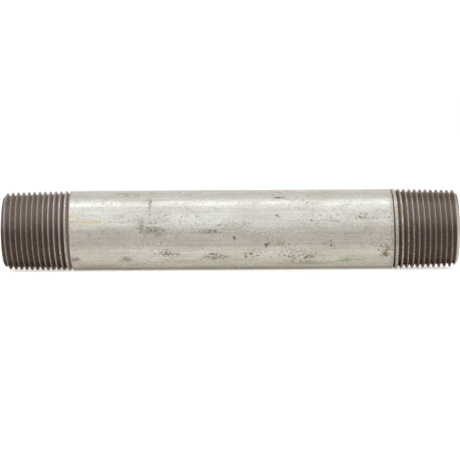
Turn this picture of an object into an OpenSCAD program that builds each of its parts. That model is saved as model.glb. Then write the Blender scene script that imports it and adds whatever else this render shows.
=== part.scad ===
// Threaded pipe nipple: 3/4 in steel pipe, 6 in long, hot-dip galvanised, with a taper thread on both ends.
// The pipe's axis is X, and the origin is the middle of the axis. Lengths are in millimetres.
// In the functions, z is the distance from an end face into the pipe, and a is an angle about the axis,
// from the bottom of the pipe (a = 0), right-handed about the way z runs.

/* [Pipe] */
// Overall length from end face to end face
pipe_len = 152.4; // [90:0.1:300]
// Outside diameter of the steel, before the zinc
pipe_od = 26.67; // [26.4:0.01:26.8]
// Wall thickness of the steel
wall_t = 2.87; // [2.6:0.01:3.9]
// Thickness of the zinc inside and outside
zinc_t = 0.12; // [0.06:0.01:0.14]

/* [Thread] */
// Pitch diameter at the end face
pitch_dia = 24.579; // [24.55:0.001:24.62]
// Length of the thread, from the end face to where the groove leaves the zinc
thread_len = 22; // [20.5:0.1:24]
// Number of turns over which the groove runs out
runout_turns = 3; // [2:0.5:4]
// Turn of the left thread about the axis, degrees
left_phase = 232.5; // [0:7.5:352.5]
// Turn of the right thread about the axis, degrees
right_phase = 187.5; // [0:7.5:352.5]

/* [Ends] */
// Outer radius of the end face
nose_r = 11.8; // [11.7:0.05:12.2]
// Length of the outer chamfer, from the end face to the thread's crests
nose_len = 1.2; // [0.8:0.1:1.6]
// Width of the reamed chamfer inside the bore
ream = 0.6; // [0.3:0.1:0.8]

/* [Hidden] */

// 14 threads in one inch, on a pitch cone that gains 1 mm of diameter in 16 mm of length
pitch = 25.4 / 14;
taper = 1 / 32;
// Each flank stands 30 degrees from a plane across the axis. Crests and roots are cut short of sharp.
flank = tan(30);
sharp_h = pitch / 2 / flank;
crest_cut = 0.06 * pitch;
root_cut = 0.05 * pitch;

steel_r = pipe_od / 2;
bore_r = steel_r - wall_t;
zinc_r = steel_r + zinc_t;
open_r = bore_r - zinc_t;

// Facets in one turn of thread, and the turns counted from the end of the thread
turn_n = 48;
first_turn = -ceil(thread_len / pitch) - 3;
last_turn = 3;

// Radius of the crests, of the full-depth roots, and of the sharp V below them
function crest_r(z) = pitch_dia / 2 + z * taper + sharp_h / 2 - crest_cut;
function tip_r(z) = pitch_dia / 2 + z * taper - sharp_h / 2;
function root_r(z) = tip_r(z) + root_cut;

// Where the cone of the crests meets the outside of the zinc
zinc_crest_z = (zinc_r - crest_r(0)) / taper;

// Past the thread, a collar takes the threaded bar proud of the zinc, so that true cylinders trim it there.
// Along the thread the bar's crests stay just inside those cylinders.
proud = 0.1;
inside = 0.005;

// In the runout the groove keeps its flanks, and its bottom is a cone that climbs out of the bar.
runout_z = thread_len - runout_turns * pitch;
climb = (zinc_r - root_r(runout_z)) / (thread_len - runout_z);
function climb_r(z) = root_r(runout_z) + (z - runout_z) * climb;

// Half the width of a groove centred on z, at its top and at its bottom, on its side nearer the end
// face (-1) or farther from it (1). flat_r is the radius of the widest crests.
function top_w(z, side, flat_r) =
    flank * min(flat_r - tip_r(z), (crest_r(z) - tip_r(z)) / (1 - side * taper * flank));
function bottom_w(z, side, flat_r) =
    let (full = root_cut / (1 - side * taper * flank),
         runout = (climb_r(z) - tip_r(z)) / (1 - side * climb * flank))
    min(top_w(z, side, flat_r), flank * max(full, runout));

// Centre of the last groove at angle a, and the centre of the groove nearest to z
function last_groove(a, phase) = thread_len + pitch * (a - phase) / 360;
function nearest(z, last) = last + pitch * round((z - last) / pitch);

// Radius of the bar at z: a flank or the bottom of a groove, or a crest
function bar_r(z, last, flat_r) =
    let (groove_z = nearest(z, last),
         flank_r = tip_r(groove_z) + abs(z - groove_z) / flank)
    min(crest_r(z), flat_r, max(root_r(z), climb_r(z), flank_r));

// Outline of the bar at angle a, from open_z to the collar, as [radius, z]: four points to a groove
function outline(a, open_z, phase, flat_r) =
    let (last = last_groove(a, phase),
         threads = [for (turn = [first_turn:last_turn])
             let (mid = last + pitch * turn,
                  low = -bottom_w(mid, -1, flat_r),
                  high = max(low, min(bottom_w(mid, 1, flat_r), thread_len - mid)))
             for (step = [-top_w(mid, -1, flat_r), low, high, top_w(mid, 1, flat_r)])
                 let (z = min(max(mid + step, open_z), thread_len))
                 [bar_r(z, last, flat_r), z]])
    concat(threads, [[zinc_r + proud, thread_len + proud]]);

// A solid bar with the right-hand thread on both of its ends, as one closed surface. It starts at open_z
// from each end face, and flat_r is the radius of its widest crests.
module threaded_bar(open_z, flat_r) {
    collar = 4 * (last_turn - first_turn + 1);
    row = 2 * collar + 2;
    rings = [for (j = [0:turn_n - 1])
        let (a = 360 * j / turn_n,
             left = outline(a, open_z, left_phase, flat_r),
             right = outline(-a, open_z, right_phase, flat_r),
             left_side = [for (p = left) [p[1] - pipe_len / 2, p[0]]],
             right_side = [for (i = [collar:-1:0]) [pipe_len / 2 - right[i][1], right[i][0]]])
        for (p = concat(left_side, right_side))
            [p[0], p[1] * sin(a), -p[1] * cos(a)]];
    tips = [[open_z - pipe_len / 2, 0, 0], [pipe_len / 2 - open_z, 0, 0]];
    points = concat(rings, tips);
    left_tip = len(rings);
    right_tip = left_tip + 1;
    // Point i after a full turn, which is a point of the first ring, one groove further on
    function wrapped(i) =
        i < collar ? min(i + 4, collar - 1) : i < collar + 2 ? i : min(i + 4, row - 1);
    function at(j, i) = j < turn_n ? j * row + i : wrapped(i);
    sides = [for (j = [0:turn_n - 1], i = [0:row - 2])
        let (p = at(j, i), q = at(j + 1, i), r = at(j + 1, i + 1), s = at(j, i + 1))
        each [[p, s, r], [p, r, q]]];
    caps = [for (j = [0:turn_n - 1])
        each [[left_tip, at(j, 0), at(j + 1, 0)],
              [right_tip, at(j + 1, row - 1), at(j, row - 1)]]];
    // Points held back at open_z or at thread_len coincide, so triangles between them have no area.
    polyhedron(points, [for (t = concat(sides, caps))
        let (u = points[t[0]], v = points[t[1]], w = points[t[2]])
        if (u != v && v != w && w != u) t], convexity = 20);
}

// Turns an outline about the axis. Its points are [radius, z], and both ends of the pipe are alike.
module turned(outer, inner) {
    rotate([0, 90, 0])
        rotate_extrude($fn = 96)
            polygon(concat(
                [for (p = outer) [p[0], p[1] - pipe_len / 2]],
                [for (i = [len(outer) - 1:-1:0]) [outer[i][0], pipe_len / 2 - outer[i][1]]],
                [for (p = inner) [p[0], pipe_len / 2 - p[1]]],
                [for (i = [len(inner) - 1:-1:0]) [inner[i][0], inner[i][1] - pipe_len / 2]]));
}

// The steel, in one piece from end to end: the threaded bar, trimmed to a bored and chamfered blank.
module steel_pipe() {
    nose_end = nose_len * (steel_r - nose_r) / (crest_r(nose_len) - nose_r);
    color([0.42, 0.37, 0.33])
        intersection() {
            turned([[nose_r, 0], [steel_r, nose_end]], [[bore_r + ream, 0], [bore_r, ream]]);
            threaded_bar(-0.6, steel_r - inside);
        }
}

// The zinc on the outside. Over the last turns it stays on the flat crests, as a strip.
module outer_zinc_coat() {
    color([0.80, 0.79, 0.76])
        intersection() {
            turned([[zinc_r, zinc_crest_z]], [[steel_r, zinc_crest_z]]);
            threaded_bar(zinc_crest_z - 0.7, zinc_r - inside);
        }
}

// The zinc inside the bore, cut back by the reamed chamfers.
module bore_zinc_coat() {
    color([0.66, 0.66, 0.64])
        turned([[bore_r, ream]], [[open_r, ream + zinc_t]]);
}

steel_pipe();
outer_zinc_coat();
bore_zinc_coat();
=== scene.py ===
import math

import bpy
import numpy as np
from mathutils import Matrix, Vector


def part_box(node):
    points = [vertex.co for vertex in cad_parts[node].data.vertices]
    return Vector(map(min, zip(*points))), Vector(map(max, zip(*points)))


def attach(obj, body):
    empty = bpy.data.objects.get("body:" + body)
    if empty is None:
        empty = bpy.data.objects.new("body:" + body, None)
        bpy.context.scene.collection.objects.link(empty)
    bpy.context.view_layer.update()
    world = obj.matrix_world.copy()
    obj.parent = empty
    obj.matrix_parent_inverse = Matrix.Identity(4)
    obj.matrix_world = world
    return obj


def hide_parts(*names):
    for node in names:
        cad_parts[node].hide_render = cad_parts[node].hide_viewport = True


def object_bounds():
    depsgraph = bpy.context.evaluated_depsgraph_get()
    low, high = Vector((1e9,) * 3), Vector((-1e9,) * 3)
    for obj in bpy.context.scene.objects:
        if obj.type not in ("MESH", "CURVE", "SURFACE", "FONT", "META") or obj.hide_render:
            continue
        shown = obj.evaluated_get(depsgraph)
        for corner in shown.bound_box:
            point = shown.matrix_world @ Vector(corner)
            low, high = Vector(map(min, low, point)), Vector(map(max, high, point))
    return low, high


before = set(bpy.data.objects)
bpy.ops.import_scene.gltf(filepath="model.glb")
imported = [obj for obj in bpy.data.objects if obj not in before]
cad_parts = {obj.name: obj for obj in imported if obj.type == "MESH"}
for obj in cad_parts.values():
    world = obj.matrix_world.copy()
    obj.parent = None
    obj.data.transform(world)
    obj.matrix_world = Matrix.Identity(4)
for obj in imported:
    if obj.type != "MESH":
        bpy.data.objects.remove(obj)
cad_lo, cad_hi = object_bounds()

# ---------------------------------------------------------------- sizes, in millimetres
# The pipe's axis is X. z is the distance from an end face into the pipe, and an angle is measured about
# the axis from the bottom of the pipe, through +Y for a rising angle.
MM = 0.001
HALF = cad_hi[0] / MM
ZINC_T = 0.12
ZINC_R = -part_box("outer_zinc_coat")[0][2] / MM
STEEL_R = ZINC_R - ZINC_T
BORE_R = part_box("bore_zinc_coat")[1][2] / MM
OPEN_R = BORE_R - ZINC_T
# Width of the reamed chamfer inside each end, and the outer chamfer's radius at the end face and its length
REAM = 0.6
NOSE_R = 11.8
NOSE_LEN = 1.2

# The thread is a V of 60 degrees, 14 turns to the inch, on a cone. Its crests and roots are cut short of
# sharp, and its edges are rounded over.
PITCH = 25.4 / 14
TAPER = 1 / 32
FLANK = math.tan(math.radians(30))
SHARP = PITCH / 2 / FLANK
PITCH_R = 24.579 / 2
CREST_CUT = 0.055 * PITCH
ROOT_CUT = 0.04 * PITCH
ROUNDED = 0.03

# One entry for each end: where a crest stands at the top of the pipe, how far in the tool starts to lift
# out of the pipe, how far it has drawn back by then, and where the zinc on the crests gives out.
LEFT = {"side": -1, "crest": 2.78, "last": 22.75, "retreat": 0.25, "bare": 21.2}
RIGHT = {"side": 1, "crest": 1.24, "last": 22.05, "retreat": 0.92, "bare": 16.6}
# The tool draws back over RUNOUT, ever faster. Then it lifts by LIFT in every LIFT_LEN. The threaded part
# of each mesh ends PAST_LAST beyond the place where it starts to lift.
RUNOUT = 3 * PITCH
RUNOUT_POWER = 2.5
LIFT = 1.2
LIFT_LEN = 0.5
PAST_LAST = 1.4

# The steel and the outer zinc have this many stations round the pipe, at these angles, and points for each
# of these turns of the groove. Turns that fall outside the thread are held back at its ends.
STATIONS = 240
ANGLES = np.arange(STATIONS) * 360 / STATIONS
TURNS = range(-2, 16)
# Points along the steel in one groove, as shares of the groove's half width, from the middle of it
STEEL_SHARES = (-1.0, -0.82, -0.62, -0.42, -0.24, -0.1, 0.0, 0.1, 0.24, 0.42, 0.62, 0.82, 1.0)
# Points along the zinc in one turn: this many in the groove, and these shares of the crest after it
GROOVE_POINTS = 4
CREST_SHARES = (0, 0.2, 0.5, 0.8)
# The points in a groove lie at least as wide apart as in a groove of this depth, to keep their order.
LEAST_DEPTH = 0.1
# Depth of the dents in the steel's crests, and height of the unevenness all over the thread
DENT_DEPTH = 0.16
UNEVEN = 0.010

# The zinc's visible skins keep this far from the steel's surface, so that the two never coincide.
CLEAR = 0.02
# The back of the bore's zinc lies this far inside the steel.
SUNK = 0.01
# Height of the zinc above the cone of the crests, where that is lower than the zinc's own surface
CREST_ZINC = 0.01
# Least thickness of the outer zinc's mesh
SKIN = 0.03
# Mean distance from the zinc's nominal surface to its modelled surface, both outside and in the bore
SWELL = 0.03
# The outer zinc's mesh starts this far before the place where the zinc on the crests gives out.
BARE_SPARE = 2.2

# Lumps of dross in the zinc: x, angle from the bottom, length, width and height
LUMPS = ((-26, 268, 2.6, 1.2, 0.05), (-6, 266, 2.2, 0.9, 0.05), (12.1, 286, 0.6, 0.5, 0.11),
         (38.9, 314, 1.8, 0.7, 0.05), (51.6, 304, 1.0, 0.6, 0.08), (-5, 308, 2.2, 0.7, 0.05),
         (22, 40, 1.6, 1.0, 0.09), (-33, 120, 2.0, 0.9, 0.08))

# The weld bead inside the bore: its angle from the bottom, half its width in degrees, and its height
BEAD_ANGLE = 152
BEAD_WIDTH = 5
BEAD_HEIGHT = 0.30


# ---------------------------------------------------------------- smooth noise for shapes
LATTICE_ROWS = 512
# Added to the place along the axis, so that no cell has a negative number
LATTICE_START = 200


def lattice(u, v, seed, periodic):
    """Smooth value noise on (u, v). v repeats every `periodic` cells."""
    rng = np.random.default_rng(seed)
    cells = rng.uniform(-1, 1, (LATTICE_ROWS, periodic))
    iu, iv = np.floor(u).astype(int), np.floor(v).astype(int)
    fu, fv = u - iu, v - iv
    fu, fv = fu * fu * (3 - 2 * fu), fv * fv * (3 - 2 * fv)
    a, b = iu % LATTICE_ROWS, (iu + 1) % LATTICE_ROWS
    c, d = iv % periodic, (iv + 1) % periodic
    low = cells[a, c] * (1 - fv) + cells[a, d] * fv
    high = cells[b, c] * (1 - fv) + cells[b, d] * fv
    return low * (1 - fu) + high * fu


def noise(x, angle, cell_x, cells_round, seed):
    """Noise over the pipe's surface: cell_x is the size of a cell along the axis, in mm."""
    return lattice(x / cell_x + LATTICE_START, (angle / 360 % 1) * cells_round, seed, cells_round)


def soft_min(a, b, width):
    """The smaller of a and b, rounded over where they meet."""
    share = np.clip(0.5 + 0.5 * (b - a) / width, 0, 1)
    return b * (1 - share) + a * share - width * share * (1 - share)


def angle_from(angle, centre):
    """How far an angle is from a centre, the shorter way round."""
    return (angle - centre + 180) % 360 - 180


# ---------------------------------------------------------------- the thread's shape
def crest_line(z):
    return PITCH_R + z * TAPER + SHARP / 2 - CREST_CUT


def bottom_line(z):
    return PITCH_R + z * TAPER - SHARP / 2 + ROOT_CUT


def tip_line(z, end):
    """Radius of the sharp V under the groove."""
    runout = np.clip((z - end["last"] + RUNOUT) / RUNOUT, 0, 1)
    lifted = np.clip((z - end["last"]) / LIFT_LEN, 0, None)
    return PITCH_R + z * TAPER - SHARP / 2 + end["retreat"] * runout ** RUNOUT_POWER + LIFT * lifted


def groove_mid(angle, end, turn):
    """Centre of a groove at an angle from the bottom, right-handed about the way z runs."""
    return end["crest"] - PITCH / 2 + PITCH * ((angle - 180) / 360 + turn)


def nearest_mid(z, angle, end):
    """Centre of the groove nearest to z."""
    first = groove_mid(angle, end, 0)
    return first + PITCH * np.round((z - first) / PITCH)


def groove_radius(z, angle, end):
    """Radius of the thread's groove, as if the pipe were thicker."""
    mid = nearest_mid(z, angle, end)
    flank = tip_line(mid, end) + np.abs(z - mid) / FLANK
    return np.maximum(bottom_line(z), flank)


def steel_radius(z, angle, end):
    nose = NOSE_R + z * (crest_line(NOSE_LEN) - NOSE_R) / NOSE_LEN
    blank = np.minimum(np.minimum(crest_line(z), nose), STEEL_R)
    return soft_min(blank, groove_radius(z, angle, end), ROUNDED)


# ---------------------------------------------------------------- mesh helpers
# Points closer than this, in metres, are one point. Edges sharper than this, in degrees, stay sharp.
MERGE = 1e-8
SHARP_EDGE = 32


class Shell:
    """Collects points and faces, in mm, and makes one object of them. Points that coincide are merged."""

    def __init__(self):
        self.points, self.faces, self.count = [], [], 0

    def grid(self, x, radius, angle):
        """Adds points at (x, radius, angle) and gives back their indices in the same shape."""
        x, radius, angle = np.broadcast_arrays(x, radius, angle)
        a = np.radians(angle)
        p = np.stack([x, radius * np.sin(a), -radius * np.cos(a)], -1).reshape(-1, 3)
        index = np.arange(len(p)).reshape(x.shape) + self.count
        self.points.append(p)
        self.count += len(p)
        return index

    def skin(self, index, shift=0, flip=False):
        """Faces between neighbouring rows of a grid, closed round the pipe. The column after the last is the
        first, moved on by shift rows. Faces look outward where x rises with the rows, unless flipped."""
        rows = len(index)
        following = np.roll(index, -1, axis=1)
        following[:, -1] = index[np.minimum(np.arange(rows) + shift, rows - 1), 0]
        quads = np.stack([index[:-1], following[:-1], following[1:], index[1:]], -1).reshape(-1, 4)
        self.faces.append(quads[:, ::-1] if flip else quads)

    def build(self, name, material):
        points = np.concatenate(self.points) * MM
        faces = np.concatenate(self.faces)
        keys = np.round(points / MERGE).astype(np.int64)
        _, first, same = np.unique(keys, axis=0, return_index=True, return_inverse=True)
        points, faces = points[first], same.reshape(-1)[faces]
        clean = []
        for face in faces.tolist():
            ring = [v for i, v in enumerate(face) if v != face[i - 1]]
            if len(ring) > 2 and len(set(ring)) == len(ring):
                clean.append(ring)
        mesh = bpy.data.meshes.new(name)
        mesh.from_pydata(points.tolist(), [], clean)
        mesh.validate()
        mesh.update()
        mesh.shade_smooth()
        mesh.set_sharp_from_angle(angle=math.radians(SHARP_EDGE))
        mesh.materials.append(material)
        piece = bpy.data.objects.new(name, mesh)
        bpy.context.scene.collection.objects.link(piece)
        return piece


# ---------------------------------------------------------------- node helpers
# Half the size of a mark, in mm, square to the surface it lies on
MARK_DEPTH = 4


class Nodes:
    """A material with one Principled shader, and short ways to make the nodes that feed it."""

    def __init__(self, name):
        self.material = bpy.data.materials.new(name)
        self.material.use_nodes = True
        self.tree = self.material.node_tree
        self.tree.nodes.clear()
        self.shader = self.tree.nodes.new("ShaderNodeBsdfPrincipled")
        out = self.tree.nodes.new("ShaderNodeOutputMaterial")
        self.link(self.shader.outputs[0], out.inputs[0])
        coords = self.tree.nodes.new("ShaderNodeTexCoord")
        self.place = coords.outputs["Object"]

    def link(self, a, b):
        self.tree.links.new(a, b)

    def feed(self, socket, value):
        """Links a node's output to a socket, or sets the socket to a number."""
        if isinstance(value, bpy.types.NodeSocket):
            self.link(value, socket)
        else:
            socket.default_value = value

    def shade(self, name, value):
        """Feeds one input of the shader."""
        self.feed(self.shader.inputs[name], value)

    def math(self, operation, a, b=0.0, clamp=False):
        n = self.tree.nodes.new("ShaderNodeMath")
        n.operation, n.use_clamp = operation, clamp
        self.feed(n.inputs[0], a)
        self.feed(n.inputs[1], b)
        return n.outputs[0]

    def ramp(self, value, low, high, bottom=0.0, top=1.0):
        """Goes smoothly from bottom to top as the value goes from low to high."""
        n = self.tree.nodes.new("ShaderNodeMapRange")
        n.interpolation_type = "SMOOTHSTEP"
        self.feed(n.inputs[0], value)
        for socket, number in zip(n.inputs[1:5], (low, high, bottom, top)):
            socket.default_value = number
        return n.outputs[0]

    def ramp_mm(self, length, low, high, bottom=0.0, top=1.0):
        """A ramp over a length in metres, with low and high in mm."""
        return self.ramp(length, low * MM, high * MM, bottom, top)

    def mix(self, share, a, b):
        """The colour a with a share of b over it."""
        n = self.tree.nodes.new("ShaderNodeMix")
        n.data_type = "RGBA"
        self.feed(n.inputs[0], share)
        for socket, value in ((n.inputs[6], a), (n.inputs[7], b)):
            self.feed(socket, value if isinstance(value, bpy.types.NodeSocket) else (*value, 1.0))
        return n.outputs[2]

    def noise(self, scale, offset=(0.0, 0.0, 0.0), detail=3.0, rough=0.6, distortion=0.0):
        """Noise over the piece. scale is in cells to a metre: along x and across x, or along x, y and z."""
        along, across, deep = scale if len(scale) == 3 else (*scale, scale[1])
        place = self.tree.nodes.new("ShaderNodeMapping")
        place.inputs["Location"].default_value = offset
        place.inputs["Scale"].default_value = (along, across, deep)
        self.link(self.place, place.inputs["Vector"])
        n = self.tree.nodes.new("ShaderNodeTexNoise")
        self.link(place.outputs[0], n.inputs["Vector"])
        n.inputs["Scale"].default_value = 1.0
        n.inputs["Detail"].default_value = detail
        n.inputs["Roughness"].default_value = rough
        n.inputs["Distortion"].default_value = distortion
        return n.outputs["Fac"]

    def split(self):
        """x, y and z of the place on the piece, in metres."""
        n = self.tree.nodes.new("ShaderNodeSeparateXYZ")
        self.link(self.place, n.inputs[0])
        return n.outputs

    def run_in(self, x):
        """Distance from the nearer end face, in metres."""
        return self.math("SUBTRACT", HALF * MM, self.math("ABSOLUTE", x))

    def spot(self, x, angle, size_x, size_round, wobble, strength=1.0):
        """A soft-edged mark on the outside at x, in mm, and an angle from the bottom of the pipe."""
        a = math.radians(angle)
        n = self.tree.nodes.new("ShaderNodeMapping")
        n.vector_type = "TEXTURE"
        n.inputs["Location"].default_value = (x * MM, ZINC_R * math.sin(a) * MM, -ZINC_R * math.cos(a) * MM)
        n.inputs["Rotation"].default_value = (a, 0, 0)
        n.inputs["Scale"].default_value = (size_x * MM, size_round * MM, MARK_DEPTH * MM)
        self.link(self.place, n.inputs["Vector"])
        size = self.tree.nodes.new("ShaderNodeVectorMath")
        size.operation = "LENGTH"
        self.link(n.outputs[0], size.inputs[0])
        edge = self.math("ADD", size.outputs["Value"], wobble)
        return self.ramp(edge, 1.1, 0.5, 0.0, strength)

    def bump(self, height, distance):
        """Relief on the shader's surface, with the distance in metres."""
        n = self.tree.nodes.new("ShaderNodeBump")
        n.inputs["Distance"].default_value = distance
        n.inputs["Strength"].default_value = 0.8
        self.link(height, n.inputs["Height"])
        self.shade("Normal", n.outputs[0])


# ---------------------------------------------------------------- materials
OLIVE = (0.22, 0.19, 0.10)
YELLOW = (0.35, 0.28, 0.12)
BROWN = (0.12, 0.09, 0.06)
AMBER = (0.13, 0.10, 0.045)
GREEN = (0.22, 0.25, 0.15)
DROSS = (0.17, 0.14, 0.105)

# Marks on the zinc: x, angle from the bottom, length, width, colour and strength
MARKS = (
    (-47, 253, 6.5, 1.1, YELLOW, 0.55), (-51.5, 241, 2.4, 0.9, YELLOW, 0.35),
    (-37, 244, 2.2, 0.7, OLIVE, 0.4), (-25.5, 266, 4.6, 1.5, DROSS, 0.5),
    (-29.5, 259, 1.4, 2.6, DROSS, 0.4), (-7, 268, 4.2, 0.9, DROSS, 0.4),
    (-5, 308, 4.4, 0.8, BROWN, 0.4), (-35, 311, 2.2, 1.2, BROWN, 0.4),
    (-52, 311, 1.6, 1.3, BROWN, 0.45), (12.2, 287, 0.9, 0.8, BROWN, 1.0),
    (16.2, 213, 2.0, 0.55, BROWN, 1.0), (1.4, 276, 0.6, 0.6, BROWN, 1.0),
    (38.6, 314, 2.2, 1.6, GREEN, 1.0), (42.4, 314, 3.0, 0.6, GREEN, 0.8),
    (51.5, 304, 1.5, 1.0, AMBER, 1.0), (52.4, 291, 1.2, 0.7, OLIVE, 0.9),
    (-35.8, 199, 3.4, 0.9, OLIVE, 0.7), (27.2, 307, 1.2, 0.9, OLIVE, 0.8),
    (5.2, 306, 0.6, 1.0, BROWN, 0.7), (43.8, 249, 1.0, 0.5, OLIVE, 0.7),
    (34.8, 253, 2.0, 0.5, BROWN, 0.35), (-26.6, 229, 0.6, 2.2, BROWN, 0.55),
    (-42, 333, 9.0, 2.4, OLIVE, 0.55), (16.5, 285, 1.6, 0.9, OLIVE, 0.5),
    (-28, 219, 1.5, 1.0, OLIVE, 0.45), (26, 321, 9.0, 1.2, BROWN, 0.45),
    (57.2, 241, 2.6, 2.2, YELLOW, 0.8), (-55, 250, 2.2, 2.2, YELLOW, 0.5),
    (6, 40, 3.0, 1.4, OLIVE, 0.5), (-24, 118, 2.4, 1.0, OLIVE, 0.4), (30, 84, 4.0, 1.0, DROSS, 0.5))

# Places where the pits and curls gather: x, angle from the bottom, length and width
GATHERED = ((-25, 265, 5.4, 2.0), (-29.3, 260, 1.6, 3.0), (-6, 268, 5.0, 1.2), (23, 305, 15, 5.0),
            (-4.3, 306, 7.0, 3.0), (-34, 310, 3.4, 2.2), (-51.5, 310, 2.4, 1.8), (-26.5, 218, 2.0, 3.4),
            (-33, 205, 6.0, 1.2), (44, 248, 4.0, 2.0), (16, 245, 2.0, 1.4), (51.5, 296, 4.0, 4.0),
            (33, 287, 5.0, 3.0), (8, 301, 8.0, 3.5), (-20, 300, 7.0, 3.0), (10, 60, 14, 5.0),
            (-30, 108, 12, 3.0), (40, 130, 8.0, 3.0), (0, 92, 10, 2.0), (-8, 150, 9.0, 2.5),
            (26, 172, 7.0, 2.0), (-46, 76, 6.0, 3.0), (-48, 160, 5.0, 2.0))


def dull_zinc(k, broad, along, grain, blotch):
    """The zinc's own colour: soft mottling, streaks along the pipe, and a fine grain."""
    tint = k.mix(k.ramp(broad, 0.32, 0.70), (0.412, 0.386, 0.344), (0.346, 0.313, 0.267))
    tint = k.mix(k.ramp(along, 0.42, 0.74, 0.0, 0.55), tint, (0.26, 0.24, 0.20))
    tint = k.mix(k.ramp(grain, 0.50, 0.74, 0.0, 0.5), tint, (0.22, 0.195, 0.155))
    tint = k.mix(k.ramp(grain, 0.48, 0.28, 0.0, 0.45), tint, (0.52, 0.51, 0.48))
    return k.mix(k.ramp(blotch, 0.58, 0.80, 0.0, 0.45), tint, (0.25, 0.235, 0.17))


def pits_and_curls(k, blotch):
    """Fine pits, and thin curled outlines round shallow blisters, both in drifts."""
    drift = k.ramp(k.noise((60, 120), (5, 5, 1)), 0.40, 0.60, 0.15, 0.65)
    gathered = 0.0
    for x, angle, length, width in GATHERED:
        spot = k.spot(x, angle, length, width, k.math("MULTIPLY", blotch, 0.6))
        gathered = k.math("MAXIMUM", spot, gathered)
    drift = k.math("ADD", drift, k.math("MULTIPLY", gathered, 0.8))
    dust = k.noise((1150, 1350), (2, 2, 8), rough=0.55)
    dust = k.math("ADD", dust, k.math("MULTIPLY", gathered, 0.07))
    pits = k.math("MULTIPLY", k.ramp(dust, 0.58, 0.68), drift, True)
    curl = k.noise((560, 700), (6, 1, 3), detail=2.0, distortion=0.6)
    line = k.ramp(k.math("ABSOLUTE", k.math("SUBTRACT", curl, 0.53)), 0.030, 0.006)
    broken = k.ramp(k.math("ADD", blotch, k.math("MULTIPLY", gathered, 0.10)), 0.48, 0.58)
    curls = k.math("MULTIPLY", k.math("MULTIPLY", line, broken), drift, True)
    return pits, curls


def stains_wear_and_painted_shade(k, tint):
    """Puts the marks on the zinc, painted shade along its underside, and the wear on the thread's crests."""
    ragged = k.noise((1200, 1600), (4, 9, 2), detail=4.0, rough=0.7)
    ragged = k.math("MULTIPLY", k.math("SUBTRACT", ragged, 0.5), 4.5)
    for x, angle, length, width, colour, strength in MARKS:
        tint = k.mix(k.spot(x, angle, length, width, ragged, strength), tint, colour)
    x, _, z = k.split()
    # Painted shade: the zinc's underside, where the pipe rests on the floor, is painted darker.
    tint = k.mix(k.ramp_mm(z, -11.2, -12.8, 0.0, 0.9), tint, (0.12, 0.10, 0.072))
    # On the crests of the thread the zinc is worn, and brown steel shows through it.
    run_in = k.run_in(x)
    worn = k.math("MULTIPLY", k.ramp_mm(run_in, 22.5, 16.5, 0.5, 1.0), k.ramp_mm(run_in, 23.5, 22.5))
    return k.mix(k.math("MULTIPLY", worn, k.ramp(ragged, -0.5, 0.3)), tint, (0.17, 0.13, 0.095))


def zinc_material():
    """Dipped zinc gone dull, with fine pits and a few stains."""
    k = Nodes("outer_zinc")
    k.shade("Metallic", 0.65)
    broad = k.noise((60, 130), detail=4.0, distortion=0.4)
    along = k.noise((30, 1500), (3, 1, 7))
    grain = k.noise((1700, 2100), (1, 5, 2), rough=0.7)
    blotch = k.noise((240, 330), (9, 2, 4), detail=5.0, rough=0.7, distortion=0.8)
    tint = dull_zinc(k, broad, along, grain, blotch)
    pits, curls = pits_and_curls(k, blotch)
    tint = k.mix(k.math("MULTIPLY", pits, 0.85), tint, (0.105, 0.082, 0.052))
    tint = k.mix(k.math("MULTIPLY", curls, 0.85), tint, (0.115, 0.095, 0.06))
    k.shade("Base Color", stains_wear_and_painted_shade(k, tint))
    rough = k.ramp(broad, 0.3, 0.7, 0.22, 0.32)
    k.shade("Roughness", k.math("ADD", rough, k.math("MULTIPLY", pits, 0.25)))
    relief = k.math("ADD", k.math("MULTIPLY", along, 0.25), k.math("MULTIPLY", grain, 0.45))
    relief = k.math("SUBTRACT", relief, k.math("ADD", pits, k.math("MULTIPLY", curls, 0.7)))
    k.bump(relief, 0.00004)
    return k.material


def below_crests(k, y, z, run_in):
    """Depth below the thread's crests, in metres."""
    radius = k.math("SQRT", k.math("ADD", k.math("MULTIPLY", y, y), k.math("MULTIPLY", z, z)))
    crest = k.math("ADD", k.math("MULTIPLY", run_in, TAPER), float(crest_line(0)) * MM)
    return k.math("SUBTRACT", k.math("MINIMUM", crest, STEEL_R * MM), radius)


def painted_shade_and_dark_top(k, tint, x, z):
    """Painted shade: darker over the lower half, and darker still on the underside. The right thread is also
    darker on top.
    """
    tint = k.mix(k.ramp_mm(z, 6.2, -0.8, 0.0, 0.65), tint, (0.108, 0.075, 0.053))
    tint = k.mix(k.ramp_mm(z, -8.5, -12.2, 0.0, 0.8), tint, (0.045, 0.032, 0.023))
    top = k.math("MULTIPLY", k.ramp_mm(z, 8.5, 11.5, 0.0, 0.45), k.ramp_mm(x, 0, 1))
    return k.mix(top, tint, (0.10, 0.075, 0.055))


def at_the_ends(k, tint, x, run_in, stain):
    """Painted light makes the right end's chamfer lighter than the left one's. The end faces show the cut.
    """
    # Painted light on the right chamfer, which faces the brighter side.
    nose = k.math("MULTIPLY", k.ramp_mm(run_in, 1.3, 0.7), k.ramp_mm(x, 0, 1, 0.0, 0.8))
    tint = k.mix(nose, tint, (0.40, 0.335, 0.29))
    sawn = k.noise((1, 260, 3400), (0, 3, 6))
    cut = k.mix(k.ramp(sawn, 0.36, 0.66), (0.34, 0.30, 0.27), (0.19, 0.16, 0.135))
    cut = k.mix(k.ramp(stain, 0.45, 0.68, 0.0, 0.7), cut, (0.17, 0.125, 0.09))
    return k.mix(k.ramp_mm(run_in, 0.25, 0.05), tint, cut)


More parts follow.
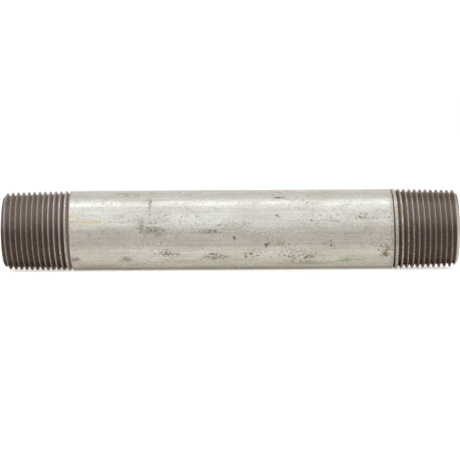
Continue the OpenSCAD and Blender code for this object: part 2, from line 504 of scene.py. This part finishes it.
def steel_material():
    """Cut steel under a film of brown oil, lighter on the crests, with turning marks round the thread."""
    k = Nodes("threaded_steel")
    k.shade("Metallic", 0.5)
    k.shade("Specular IOR Level", 0.12)
    k.shade("Specular Tint", (0.45, 0.38, 0.32, 1.0))
    turned = k.noise((5200, 90))
    stain = k.noise((160, 190), (2, 8, 3), detail=4.0, rough=0.65, distortion=0.6)
    speck = k.noise((2200, 2200), detail=2.0)
    x, y, z = k.split()
    run_in = k.run_in(x)
    depth = below_crests(k, y, z, run_in)
    tint = k.mix(k.ramp_mm(depth, 0.1, 1.1), (0.262, 0.217, 0.186), (0.265, 0.214, 0.180))
    tint = k.mix(k.ramp(stain, 0.40, 0.70, 0.0, 0.6), tint, (0.215, 0.169, 0.135))
    tint = k.mix(k.ramp(turned, 0.45, 0.75, 0.0, 0.5), tint, (0.185, 0.143, 0.112))
    tint = painted_shade_and_dark_top(k, tint, x, z)
    bare = k.math("MULTIPLY", k.ramp_mm(depth, 0.16, 0.01), k.ramp(speck, 0.66, 0.42, 0.1, 0.8))
    tint = k.mix(bare, tint, (0.31, 0.268, 0.240))
    # Painted shade: on the very underside the crests are painted dark too.
    tint = k.mix(k.ramp_mm(z, -11.3, -12.7, 0.0, 0.85), tint, (0.045, 0.032, 0.023))
    # The last, shallow groove at the left end is paler.
    last = k.math("MULTIPLY", k.ramp_mm(run_in, 21.6, 22.0, 0.0, 0.65), k.ramp_mm(x, 0, -1))
    tint = k.mix(last, tint, (0.42, 0.36, 0.325))
    tint = k.mix(k.ramp(speck, 0.60, 0.72, 0.0, 0.35), tint, (0.11, 0.085, 0.065))
    tint = at_the_ends(k, tint, x, run_in, stain)
    k.shade("Base Color", tint)
    k.shade("Roughness", k.ramp(stain, 0.3, 0.7, 0.22, 0.34))
    relief = k.math("ADD", k.math("MULTIPLY", turned, 0.6), k.math("MULTIPLY", speck, 0.3))
    k.bump(relief, 0.00002)
    return k.material


def bore_material():
    """Dull zinc in soft clouds, with a fine grain."""
    k = Nodes("bore_zinc")
    k.shade("Metallic", 0.6)
    cloud = k.noise((70, 160), (4, 4, 4), detail=5.0, rough=0.65, distortion=0.5)
    grain = k.noise((1500, 1500))
    tint = k.mix(k.ramp(cloud, 0.32, 0.7), (0.56, 0.55, 0.52), (0.33, 0.31, 0.27))
    k.shade("Base Color", k.mix(k.ramp(grain, 0.5, 0.8, 0.0, 0.4), tint, (0.27, 0.25, 0.21)))
    k.shade("Roughness", k.ramp(cloud, 0.3, 0.7, 0.38, 0.55))
    k.bump(k.math("ADD", grain, cloud), 0.00008)
    return k.material


def floor_material():
    """A white surface, paler and glowing a little under the pipe: painted light that fills in the pipe's
    shadow and lights its underside.
    """
    k = Nodes("floor")
    painted_glow = k.ramp_mm(k.math("ABSOLUTE", k.split()[1]), 13, 27, 1.0, 0.0)
    k.shade("Base Color", k.mix(painted_glow, (0.66, 0.622, 0.593), (0.80, 0.765, 0.725)))
    k.shade("Roughness", 1.0)
    k.shade("Specular IOR Level", 0.0)
    k.shade("Emission Color", (1.0, 0.98, 0.945, 1))
    k.shade("Emission Strength", k.math("MULTIPLY", painted_glow, 0.64))
    return k.material


# ---------------------------------------------------------------- the steel pipe
def steel_rows(turn_angle, end):
    """z of each point along the threaded part, at each station."""
    rows = []
    for turn in TURNS:
        mid = groove_mid(turn_angle, end, turn)
        depth = np.minimum(crest_line(mid), STEEL_R) - tip_line(mid, end)
        half = FLANK * np.maximum(depth, LEAST_DEPTH)
        rows += [mid + share * half for share in STEEL_SHARES]
    return np.clip(np.array(rows), 0, end["last"] + PAST_LAST)


def worn_radius(z, angle, end):
    """Radius of the steel, a little uneven, with small dents along its crests."""
    seed = end["side"]
    r = steel_radius(z, angle, end)
    dent = np.clip(noise(z, angle, 0.5, 180, 11 + seed) - 0.5, 0, 1) * DENT_DEPTH
    on_crest = np.clip((r - tip_line(z, end)) / (SHARP - CREST_CUT), 0, 1) ** 4
    uneven = UNEVEN * noise(z, angle, 0.3, 70, 21 + seed) * np.clip(z / 0.5, 0, 1)
    return r - dent * on_crest - uneven


def end_face(shell, side):
    """Rings of points on an end face and its reamed chamfer, from the outside in."""
    face_r = BORE_R + np.array([REAM + 0.3, REAM + 0.02, REAM - 0.05, 0.0])[:, None]
    face_z = np.array([0.0, 0.0, 0.05, REAM])[:, None]
    unevenness = np.array([0, 1, 1, 0.5])[:, None]
    ragged = 0.04 * noise(face_r, ANGLES[None, :], 0.6, 44, 31 + side) * unevenness
    return shell.grid(side * (HALF - face_z), face_r + ragged, ANGLES[None, :])


def build_steel(material):
    """The pipe, with both threads, both end faces and the bore."""
    shell = Shell()
    # For each end, the row of points where the thread meets the barrel, and the row where the bore starts
    rings = {}
    for end in (LEFT, RIGHT):
        side = end["side"]
        turn_angle = -side * ANGLES
        z = steel_rows(turn_angle, end)
        r = worn_radius(z, np.broadcast_to(turn_angle, z.shape), end)
        outside = shell.grid(side * (HALF - z), r, ANGLES)
        face = end_face(shell, side)
        if side > 0:
            outside = outside[::-1]
            shell.skin(np.vstack([outside[-1], face]))
        else:
            shell.skin(np.vstack([face[::-1], outside[0]]))
        shell.skin(outside, shift=len(STEEL_SHARES))
        rings[side] = (outside[-1] if side < 0 else outside[0], face[-1])
    shell.skin(np.vstack([rings[-1][0], rings[1][0]]))
    shell.skin(np.vstack([rings[1][1], rings[-1][1]]))
    return shell.build("threaded_steel_pipe", material)


# ---------------------------------------------------------------- zinc on the outside
def zinc_surface(x, angle):
    """Radius of the zinc's outer surface, uneven as a dipped coat is."""
    wavy = 0.030 * noise(x, angle, 15, 9, 51) + 0.012 * noise(x, angle, 5, 26, 52)
    rippled = 0.006 * noise(x, angle, 1.7, 60, 53)
    surface = ZINC_R + SWELL + wavy + rippled
    for place, where, length, width, height in LUMPS:
        away = np.radians(angle_from(angle, where)) * ZINC_R
        spread = ((x - place) / length) ** 2 + (away / width) ** 2
        surface = surface + height * np.exp(-spread) * (0.7 + 0.5 * noise(x, angle, 0.7, 130, 54))
    return surface


def zinc_rows(turn_angle, end):
    """z of each point along the threaded part, at each station."""
    rows = []
    for turn in TURNS:
        mid = groove_mid(turn_angle, end, turn)
        tip = tip_line(mid, end)
        top = FLANK * np.maximum(np.minimum(crest_line(mid), ZINC_R) - tip, 2 * LEAST_DEPTH)
        low = FLANK * np.maximum(STEEL_R - SKIN - tip, LEAST_DEPTH)
        land = PITCH - 2 * top
        rows += [mid - top, mid - low, mid, mid + low]
        rows += [mid + top + share * land for share in CREST_SHARES]
    return np.clip(np.array(rows), end["bare"] - BARE_SPARE, end["last"] + PAST_LAST)


def zinc_radius(x, z, turn_angle, end):
    """Radius of the zinc's outside along the thread. Where there is no zinc, it hides under the steel."""
    seed = end["side"]
    cut = groove_radius(z, turn_angle, end)
    surface = np.minimum(zinc_surface(x, ANGLES), crest_line(z) + CREST_ZINC)
    # The zinc on the crests gives out in a ragged way towards the end of the pipe.
    ragged = noise(z, turn_angle, 3.0, 150, 61 + seed) + 0.6 * noise(z, turn_angle, 3.0, 50, 63 + seed)
    there = z - end["bare"] + 1.5 * ragged > 0
    flank = tip_line(z, end) + np.abs(z - nearest_mid(z, turn_angle, end)) / FLANK
    hidden = np.minimum(steel_radius(z, turn_angle, end), flank) - CLEAR
    return np.where((cut > STEEL_R) & there, np.minimum(surface, cut), hidden)


def build_outer_zinc(material):
    """The zinc on the barrel and on the crests beside it. In the grooves it hides under the steel."""
    shell = Shell()
    # For each end, the rows of points where the thread meets the barrel, outside and inside
    rings = {}
    shift = GROOVE_POINTS + len(CREST_SHARES)
    for end in (LEFT, RIGHT):
        side = end["side"]
        turn_angle = -side * ANGLES
        z = zinc_rows(turn_angle, end)
        x = side * (HALF - z)
        outer = zinc_radius(x, z, np.broadcast_to(turn_angle, z.shape), end)
        outside = shell.grid(x, outer, ANGLES)
        inside = shell.grid(x, np.minimum(outer - SKIN, STEEL_R - CLEAR), ANGLES)
        if side > 0:
            outside, inside = outside[::-1], inside[::-1]
            shell.skin(np.vstack([outside[-1], inside[-1]]))
        else:
            shell.skin(np.vstack([inside[0], outside[0]]))
        shell.skin(outside, shift=shift)
        shell.skin(inside, shift=shift, flip=True)
        rings[side] = (outside[-1], inside[-1]) if side < 0 else (outside[0], inside[0])
    # The barrel's rows are about step apart, and its end rows stand off the threads' last rows by gap.
    gap, step = 0.4, 0.5
    start = -HALF + LEFT["last"] + PAST_LAST + gap
    stop = HALF - RIGHT["last"] - PAST_LAST - gap
    x = np.linspace(start, stop, round((stop - start) / step))[:, None]
    barrel = shell.grid(x, zinc_surface(x, ANGLES[None, :]), ANGLES[None, :])
    shell.skin(np.vstack([rings[-1][0], barrel, rings[1][0]]))
    shell.skin(np.vstack([rings[1][1], rings[-1][1]]))
    return shell.build("outer_zinc", material)


# ---------------------------------------------------------------- zinc in the bore
def build_bore_zinc(material):
    """The zinc from one reamed chamfer to the other, with a ridge over the weld bead."""
    shell = Shell()
    stations, rows = 160, 120
    x = np.linspace(-HALF + REAM, HALF - REAM, rows)[:, None]
    angle = (np.arange(stations) * 360 / stations)[None, :]
    wavy = 0.04 * noise(x, angle, 9, 14, 41) + 0.02 * noise(x, angle, 2, 50, 42)
    away = angle_from(angle, BEAD_ANGLE) / BEAD_WIDTH
    bead = BEAD_HEIGHT * np.exp(-away ** 2) * (1 + 0.3 * noise(x, angle, 1.6, 40, 43))
    inner = np.minimum(OPEN_R + SWELL + wavy - bead, BORE_R - CLEAR)
    bore = shell.grid(x, inner, angle)
    wall = shell.grid(x[[0, -1]], BORE_R + SUNK, angle)
    shell.skin(bore[::-1])
    shell.skin(np.vstack([wall[0], bore[0]])[::-1])
    shell.skin(np.vstack([bore[-1], wall[1]])[::-1])
    shell.skin(wall)
    return shell.build("bore_zinc", material)


steel = build_steel(steel_material())
outer_zinc = build_outer_zinc(zinc_material())
bore_zinc = build_bore_zinc(bore_material())
for piece, node, slot in ((steel, "steel_pipe", "threaded_steel"),
                          (outer_zinc, "outer_zinc_coat", "outer_zinc"),
                          (bore_zinc, "bore_zinc_coat", "bore_zinc")):
    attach(piece, "root")
    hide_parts(node)

# ---------------------------------------------------------------- floor, light and camera, in metres
bpy.ops.mesh.primitive_plane_add(size=12, location=(0, 0, cad_lo[2]))
floor = bpy.context.object
floor.name = "floor"
floor.data.materials.append(floor_material())

scene = bpy.context.scene
scene.view_settings.view_transform = "Standard"

# Brightness of the room by the angle from the front, over the top, to the back, in degrees
ROOM = ((0, 1.10), (8, 1.12), (19, 1.99), (50, 2.09), (80, 2.00), (97, 1.64), (105, 1.37), (134, 1.15),
        (180, 1.10))
ROOM_MOST = 2.1
# The room is a little blue overhead, between these angles, and a little red elsewhere.
OVERHEAD = (10, 100)
COOL, WARM = 0.06, -0.02


def fill_room_ramp(ramp):
    ramp.interpolation = "EASE"
    while len(ramp.elements) < len(ROOM):
        ramp.elements.new(0.5)
    for element, (degrees, level) in zip(ramp.elements, ROOM):
        element.position = degrees / 180
        grey = level / ROOM_MOST
        cool = COOL if OVERHEAD[0] < degrees < OVERHEAD[1] else WARM
        element.color = ((1 - cool) * grey, grey, (1 + cool) * grey, 1)


def add_room():
    """Lights everything from a plain room, whose brightness depends on the angle over the pipe."""
    world = bpy.data.worlds.new("studio")
    scene.world = world
    world.use_nodes = True
    tree = world.node_tree
    tree.nodes.clear()

    def add(kind, operation, *inputs):
        """A node whose inputs, in order, are linked or set."""
        n = tree.nodes.new(kind)
        if operation:
            n.operation = operation
        for socket, value in zip(n.inputs, inputs):
            if isinstance(value, bpy.types.NodeSocket):
                tree.links.new(value, socket)
            else:
                socket.default_value = value
        return n

    direction = tree.nodes.new("ShaderNodeTexCoord").outputs["Generated"]
    split = add("ShaderNodeSeparateXYZ", None, direction)
    front = add("ShaderNodeMath", "MULTIPLY", split.outputs[1], -1)
    turn = add("ShaderNodeMath", "ARCTAN2", split.outputs[2], front.outputs[0])
    share = add("ShaderNodeMath", "DIVIDE", turn.outputs[0], math.pi)
    share.use_clamp = True
    ramp = add("ShaderNodeValToRGB", None, share.outputs[0])
    fill_room_ramp(ramp.color_ramp)
    sky = add("ShaderNodeBackground", None, ramp.outputs[0], ROOM_MOST)
    add("ShaderNodeOutputWorld", None, sky.outputs[0])


# A long softbox hangs over the pipe, a little to the front of it, and faces it.
BOX_Y, BOX_Z = -0.04, 0.75
BOX_LONG, BOX_WIDE = 1.4, 0.24
BOX_WATTS = 1.7
BOX_COLOUR = (0.86, 0.96, 1.06)


def add_softbox():
    lamp = bpy.data.lights.new("top_softbox", "AREA")
    lamp.shape, lamp.size, lamp.size_y = "RECTANGLE", BOX_LONG, BOX_WIDE
    lamp.energy = BOX_WATTS
    lamp.color = BOX_COLOUR
    softbox = bpy.data.objects.new("top_softbox", lamp)
    softbox.location = (0.0, BOX_Y, BOX_Z)
    softbox.rotation_euler = (math.atan2(BOX_Y, BOX_Z), 0, 0)
    scene.collection.objects.link(softbox)


# The camera looks at the pipe from a little above. It stands a little to the right of the pipe's middle,
# and is turned slightly to the left and about its own axis. Angles are in degrees.
LENS = 133.5
SENSOR = 36
DISTANCE = 0.5774
ASIDE = 0.00425
RISE, TURN, TILT, ROLL = 5.0, 0.432, -0.010, -0.347


def add_camera():
    data = bpy.data.cameras.new("camera")
    data.sensor_width = SENSOR
    data.lens = LENS
    data.clip_start, data.clip_end = 0.05, 50
    camera = bpy.data.objects.new("camera", data)
    camera.matrix_world = (Matrix.Rotation(math.radians(-RISE), 4, "X")
                           @ Matrix.Translation((ASIDE, -DISTANCE, 0))
                           @ Matrix.Rotation(math.radians(TURN), 4, "Z")
                           @ Matrix.Rotation(math.radians(90 + TILT), 4, "X")
                           @ Matrix.Rotation(math.radians(ROLL), 4, "Z"))
    scene.collection.objects.link(camera)
    return camera


add_room()
add_softbox()
scene.camera = add_camera()
